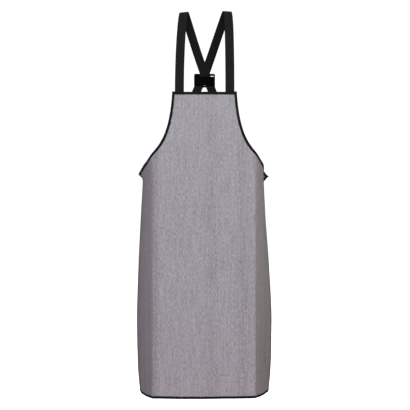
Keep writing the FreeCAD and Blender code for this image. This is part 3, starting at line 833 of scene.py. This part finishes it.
TAB_PARTS = 0.0012                  # and how far apart they start
TAB_RUN = 0.0145                    # and where they run straight to the bar
UPPER_ROWS = 70
LOWER_ROWS = 110
SPLIT_ROW = 44                      # where the middle piece ends and the waist piece starts


def waist_frame(name):
    """4x4 matrix of a waist buckle: X along the strap, Z away from the wearer."""
    x = unit(joints[name + "_buckle_release"]["axis"])
    z = unit(joints[name + "_upper_prong_squeeze"]["axis"])
    upper = np.array(joints[name + "_upper_prong_squeeze"]["pos_m"])
    lower = np.array(joints[name + "_lower_prong_squeeze"]["pos_m"])
    across = unit(upper - lower)
    if np.dot(np.cross(z, x), across) < 0:
        z = -z
    y = np.cross(z, x)
    matrix = np.identity(4)
    matrix[:3, 0] = x
    matrix[:3, 1] = y
    matrix[:3, 2] = z
    matrix[:3, 3] = (upper + lower) / 2 - x * PRONG_ROOT
    return matrix


def moved(matrix, points):
    return np.asarray(points, float) @ matrix[:3, :3].T + matrix[:3, 3]


def turned(matrix, vectors):
    return np.asarray(vectors, float) @ matrix[:3, :3].T


def arc_round(centre, radius, start, end, inward, count=12):
    """Points and normals round a bar in the buckle's XZ plane; angles are in degrees."""
    turns = np.radians(np.linspace(start, end, count))
    away = np.stack([np.cos(turns), np.zeros(count), np.sin(turns)], axis=1)
    points = np.array([centre[0], 0.0, centre[1]]) + away * radius
    return points, -away if inward else away


def straight(x0, x1, z, normal_z, count):
    """Points and normals along a buckle's X at one height."""
    x = np.linspace(x0, x1, count)
    points = np.stack([x, np.zeros(count), np.full(count, z)], axis=1)
    return points, np.tile([0.0, 0.0, normal_z], (count, 1))


def waist_run(matrix):
    """The strap's end at a buckle: inner run, half turn round the plug's bar, tail and its hem."""
    fold = TAIL_FOLD
    parts = [
        straight(STRAIGHT_END, PLUG_BAR + BAR_EASE, -LOOP, 1.0, 34),
        arc_round((PLUG_BAR, 0.0), LOOP, 270, 90, True),
        straight(PLUG_BAR + BAR_EASE, TAIL_END, LOOP, -1.0, 28),
        arc_round((TAIL_END, LOOP + fold), fold, -90, 90, False, 8),
        straight(TAIL_END - 0.0003, TAIL_END - TAIL_HEM, LOOP + 2 * fold, 1.0, 6),
    ]
    points = np.concatenate([p for p, _ in parts])
    normals = np.concatenate([n for _, n in parts])
    return moved(matrix, points), turned(matrix, normals)


def strap_path(side):
    """Centres and normals of a strap's three pieces, and its buckle's matrix.

    The pieces run from the bib to the slider, on to the middle of the back, and on to the waist.
    """
    cross = np.array(CROSSING) + [0.0, LAYER[side], 0.0]
    z = np.linspace(BIB_TOP - ANCHOR_DROP, BIB_TOP, 14)
    s = np.full(len(z), side * ANCHOR_X[side])
    point, _, _, out = cloth_frame(s, z)
    sewn = point - out * ANCHOR_SET_IN
    start = sewn[-1]
    top_x = side * SHOULDER_X[side]
    top_z = SHOULDER_Z[side]
    top = np.array([top_x, 0.0, top_z])
    chest = (start[0], start[1] + CHEST_PULL[0], CHEST_PULL[1])
    collar = (top_x + side * SHOULDER_EASE[side], SHOULDER_PULL[0], top_z)
    front = (start, chest, collar, top)
    blade = (top_x - side * BLADE_IN, SHOULDER_PULL[1], top_z)
    spine = (side * BACK_PULL[0], cross[1], BACK_PULL[1])
    back = (top, blade, spine, cross)
    matrix = waist_frame("right" if side < 0 else "left")
    end = moved(matrix, [STRAIGHT_END, 0.0, -LOOP])
    pull = matrix[:3, 0]
    face = matrix[:3, 2]
    below = (-side * CROSS_PULL[0], cross[1], cross[2] - CROSS_PULL[1])
    lower = (cross, below, end + pull * WAIST_PULL, end)
    up = unit([side * SHOULDER_SLOPE[side], 0.0, 1.0])
    behind = np.array([0.0, 1.0, 0.0])
    u = np.linspace(0, 1, UPPER_ROWS)

    def blended(a, b, t):
        return a * (1 - t[:, None]) + b * t[:, None]

    first = np.concatenate([sewn[:-1], bezier(front, u)[:-1], bezier(back, u)])
    first_n = np.concatenate([out[:-1], blended(out[-1], up, u)[:-1], blended(up, behind, u)])
    w = np.linspace(0, 1, LOWER_ROWS)
    lower_points = bezier(lower, w)
    lower_n = blended(behind, face, smooth((w - FLAT_SHARE) / (1 - FLAT_SHARE)))
    middle = (lower_points[:SPLIT_ROW + 1], lower_n[:SPLIT_ROW + 1])
    tail, tail_n = waist_run(matrix)
    last = np.concatenate([lower_points[SPLIT_ROW:-1], tail])
    last_n = np.concatenate([lower_n[SPLIT_ROW:-1], tail_n])
    return (first, first_n), middle, (last, last_n), matrix


def make_straps():
    """Both straps, each in three pieces of webbing that meet at the slider and at the middle of the back.
    """
    profile = webbing_profile()
    for side, name in SIDES:
        upper, middle, low, matrix = strap_path(side)
        node = [name + "_shoulder_strap"]
        first = sweep(name + "_strap_upper", upper[0], runs_of(upper[0]), upper[1], profile)
        dress(first, WEBBING, node, None)
        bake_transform(first)
        second = sweep(name + "_strap_middle", middle[0], runs_of(middle[0]), middle[1], profile)
        dress(second, WEBBING, node, None)
        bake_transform(second)
        third = sweep(name + "_strap_waist", low[0], runs_of(low[0]), low[1], profile)
        dress(third, WEBBING, node, None)
        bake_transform(third)


def make_tab(side, name):
    """Doubled webbing sewn inside the waist corner and turned round the socket's bar."""
    matrix = waist_frame(name)
    pull = matrix[:3, 0]
    corner_s = side * (PANEL_HALF - TAB_IN)
    corner_z = WAIST - TAB_DOWN
    sight = (np.array([corner_s]), np.array([corner_z - TAB_SIGHT]))
    _, along, up, _ = surface_frame(hanging_cloth, *sight)
    step = np.array([np.dot(pull, along[0]), np.dot(pull, up[0])])
    step = step / np.linalg.norm(step)
    set_in = CLOTH / 2 + TAPE + TAB_GAP + WEB
    back = np.linspace(*TAB_SEWN, 10)
    s = corner_s - back * step[0]
    z = corner_z - back * step[1]
    point, _, _, out = surface_frame(hanging_cloth, s, z)
    ply = WEB / 2 + PLY_GAP
    near, near_n = straight(*TAB_LEAVES, 0.0, 1.0, 3)
    apart = np.array([0, 0, 1.0]) * np.linspace(TAB_PARTS, LOOP, 3)[:, None]
    outer = near + apart
    inner = near - apart
    run, run_n = straight(TAB_RUN, SOCKET_BAR - BAR_EASE, LOOP, 1.0, 8)
    loop, loop_n = arc_round((SOCKET_BAR, 0.0), LOOP, 90, -90, False)
    centres = np.concatenate([
        point - out * (set_in - ply),
        moved(matrix, np.concatenate([outer, run, loop])),
        moved(matrix, np.concatenate([run[::-1] * [1, 1, -1], inner[::-1]])),
        (point - out * (set_in + ply))[::-1],
    ])
    normals = np.concatenate([
        out,
        turned(matrix, np.concatenate([near_n, run_n, loop_n])),
        turned(matrix, np.concatenate([-run_n, -near_n])),
        -out[::-1],
    ])
    return sweep(name + "_tab_webbing", centres, runs_of(centres), normals, webbing_profile())


def make_keeper_band(name, matrix):
    """Closed elastic band round the strap and its tail."""
    half_y = WEB_WIDTH / 2 + KEEPER_GAP
    half_z = LOOP + WEB / 2 + KEEPER_GAP
    corner = KEEPER_CORNER
    points = []
    normals = []
    for centre_y, centre_z, start in ((1, 1, 0), (-1, 1, 90), (-1, -1, 180), (1, -1, 270)):
        for t in np.radians(np.linspace(start, start + 90, 7)):
            away = np.array([0.0, math.cos(t), math.sin(t)])
            centre = [KEEPER_MIDDLE, centre_y * (half_y - corner), centre_z * (half_z - corner)]
            points.append(np.array(centre) + away * corner)
            normals.append(away)
    points = np.array(points + points[:1])
    normals = np.array(normals + normals[:1])
    dense = np.linspace(0, len(points) - 1, 6 * (len(points) - 1) + 1)
    index = np.arange(len(points))
    points = np.stack([np.interp(dense, index, points[:, k]) for k in range(3)], axis=1)
    normals = np.stack([np.interp(dense, index, normals[:, k]) for k in range(3)], axis=1)
    runs = runs_of(points)
    runs[0] = runs[-1] = unit(runs[0] + runs[-1])
    profile = webbing_profile(KEEPER_WIDTH, *KEEPER_BAND)
    return sweep(name + "_keeper_band", moved(matrix, points), turned(matrix, runs),
                 turned(matrix, normals), profile)


# ---- Stitching and label ----------------------------------------------------------------------------

BIB_BOX_DOWN = 0.003                # how far below the middle of the sewn strap its box lies
BIB_BOX_HALF = 0.012
TAB_BOX = (0.024, 0.041, 0.0096)    # in and down from the waist corner, and half the side
LABEL_IN = 0.058
LABEL_WIDTH = 0.040
LABEL_SECTION = (0.00035, 0.01, 0.0, 13)    # thickness, rib pitch, rib and points
LABEL_PLY = 0.0006                  # half the space between the label's two layers
LABEL_CURL = 0.0030
LABEL_SEWN = 0.001
LABEL_SHORT = 0.003                 # how much less than its CAD box the label hangs down


def box_stitch(centre_s, centre_z, half):
    """Stitch lines of a square with a cross, on the cloth's face."""
    corners = [(-1, -1), (1, -1), (1, 1), (-1, 1)]
    paths = [(corners[i], corners[(i + 1) % 4]) for i in range(4)]
    paths += [((-1, -1), (1, 1)), ((1, -1), (-1, 1))]
    lines = []
    for (a, b), (c, d) in paths:
        t = np.linspace(0.03, 0.97, 14)
        s = centre_s + (a + (c - a) * t) * half
        z = centre_z + (b + (d - b) * t) * half
        point, _, _, out = cloth_frame(s, z)
        lines.append(stitch_line(point + out * CLOTH / 2, out))
    return lines


def make_sewing():
    """The box stitches that hold the strap ends and the tabs."""
    pieces = []
    for side, name in SIDES:
        height = BIB_TOP - ANCHOR_DROP / 2 - BIB_BOX_DOWN
        lines = box_stitch(side * ANCHOR_X[side], height, BIB_BOX_HALF)
        made = stitches(name + "_anchor_threads", *join_lines(lines), radius=BOX_THREAD)
        pieces.append(dress(made, THREAD_GREY, [name + "_strap_anchor_stitching"]))
        in_from_edge, down, half = TAB_BOX
        lines = box_stitch(side * (PANEL_HALF - in_from_edge), WAIST - down, half)
        made = stitches(name + "_tab_threads", *join_lines(lines), radius=BOX_THREAD)
        pieces.append(dress(made, THREAD_GREY, [name + "_waist_tab_stitching"]))
    return pieces


def make_label():
    """Folded satin ribbon inside the right wing, sewn at its top edge."""
    low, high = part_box("care_label")
    middle = PANEL_HALF - LABEL_IN
    height = high.z - low.z
    drop = np.linspace(0, 1, 16)
    z = high.z - LABEL_SEWN - drop * (height - LABEL_SHORT)
    point, _, _, out = cloth_frame(np.full(len(z), middle), z)
    curl = LABEL_CURL * drop ** 2
    outer = point - out * (CLOTH / 2 + LABEL_PLY + curl)[:, None]
    turn = np.radians(np.linspace(0, 180, 9))[1:-1]
    base = outer[-1] - out[-1] * LABEL_PLY
    fold_n = [out[-1] * math.cos(t) - np.array([0, 0, math.sin(t)]) for t in turn]
    fold = [base + away * LABEL_PLY for away in fold_n]
    inner = (outer - out * 2 * LABEL_PLY)[::-1]
    centres = np.concatenate([outer, fold, inner])
    normals = np.concatenate([out, fold_n, -out[::-1]])
    profile = webbing_profile(LABEL_WIDTH, *LABEL_SECTION)
    return sweep("blank_label", centres, runs_of(centres), normals, profile)


# ---- Build ------------------------------------------------------------------------------------------

panel = dress(make_panel(), MARL, ["apron_panel"])
bindings = make_bindings()
make_straps()
sewing = make_sewing()

for side, name in SIDES:
    dress(make_tab(side, name), WEBBING, [name + "_waist_tab"])
    band = make_keeper_band(name, waist_frame(name))
    dress(band, ELASTIC, [name + "_strap_keeper"], name + "_keeper")

label = dress(make_label(), LABEL, ["care_label"])

for node, obj in frame["nodes"].items():
    if "slider" in node:
        finish = SLIDER_PLASTIC
    elif "buckle" in node or "prong" in node:
        finish = BUCKLE_PLASTIC
    else:
        continue
    if not obj.material_slots:
        obj.data.materials.append(finish)
    for material_slot in obj.material_slots:
        material_slot.link = "OBJECT"
        material_slot.material = finish

# ---- Stage, light and camera ------------------------------------------------------------------------

FLOOR_Z = HEM - 0.17
MIDDLE = (0.0016, -0.6505)          # x and z that the camera looks at
CAMERA_Y = -3.93
LENS = 102.35
STAGE_GLOW = 1.1
WHITE = (1.0, 1.0, 1.0, 1.0)
KEY = ((0.3, -3.2, 1.3), (0, -0.1, -0.55), 1.8, 92.0)       # place, target, size and power
FILL = ((-0.2, -3.1, -2.6), (0, -0.1, -0.8), 1.8, 47.0)
TOP = ((0.2, 0.4, 2.3), (0, 0, -0.6), 2.4, 10.0)
BACK = ((0.3, 3.4, 0.7), (0, 0.1, -0.6), 2.2, 55.0)
WORLD_LIGHT = 0.30


def stage_material(name, base, glow):
    n = Nodes(name, base, 0.9, Specular_IOR_Level=0.1, Emission_Strength=glow)
    n.shader.inputs["Emission Color"].default_value = WHITE
    grain = n.noise(n.place(), 3.0, 2.0)
    n.colour(n.mix(grain, base, tuple(0.98 * c for c in base)))
    return n.material


def camera_only(obj):
    """The stage is seen, but doesn't throw its own light back on the apron."""
    obj.visible_diffuse = False
    obj.visible_glossy = False
    obj.visible_transmission = False
    obj.visible_shadow = False


bpy.ops.mesh.primitive_circle_add(vertices=96, radius=11.5, fill_type="NGON",
                                  location=(0, 0, FLOOR_Z))
floor = bpy.context.object
floor.name = "floor"
floor.data.materials.append(stage_material("pale_floor", (0.9, 0.9, 0.9), STAGE_GLOW))
camera_only(floor)
bpy.ops.mesh.primitive_uv_sphere_add(segments=48, ring_count=24, radius=12.0,
                                     location=(0, 0, FLOOR_Z))
dome = bpy.context.object
dome.name = "backdrop"
dome.data.materials.append(stage_material("white_backdrop", (0.0, 0.0, 0.0), STAGE_GLOW))
camera_only(dome)


def area_light(name, place, target, size, power):
    """Round white light at a place, turned to its target."""
    light = bpy.data.lights.new(name, "AREA")
    light.shape = "DISK"
    light.size = size
    light.energy = power
    obj = bpy.data.objects.new(name, light)
    obj.location = place
    obj.rotation_euler = (Vector(target) - Vector(place)).to_track_quat("-Z", "Y").to_euler()
    bpy.context.scene.collection.objects.link(obj)


for light_name, settings in (("key", KEY), ("fill", FILL), ("top", TOP), ("back", BACK)):
    area_light(light_name, *settings)

world = bpy.data.worlds.new("studio")
world.use_nodes = True
background = world.node_tree.nodes["Background"]
background.inputs["Color"].default_value = WHITE
background.inputs["Strength"].default_value = WORLD_LIGHT
bpy.context.scene.world = world
bpy.context.scene.view_settings.view_transform = "Standard"

camera = bpy.data.cameras.new("camera")
camera.sensor_width = 36.0
camera.lens = LENS
camera.clip_end = 60.0
camera_object = bpy.data.objects.new("camera", camera)
camera_object.location = (MIDDLE[0], CAMERA_Y, MIDDLE[1])
camera_object.rotation_euler = (math.pi / 2, 0.0, 0.0)
bpy.context.scene.collection.objects.link(camera_object)
bpy.context.scene.camera = camera_object
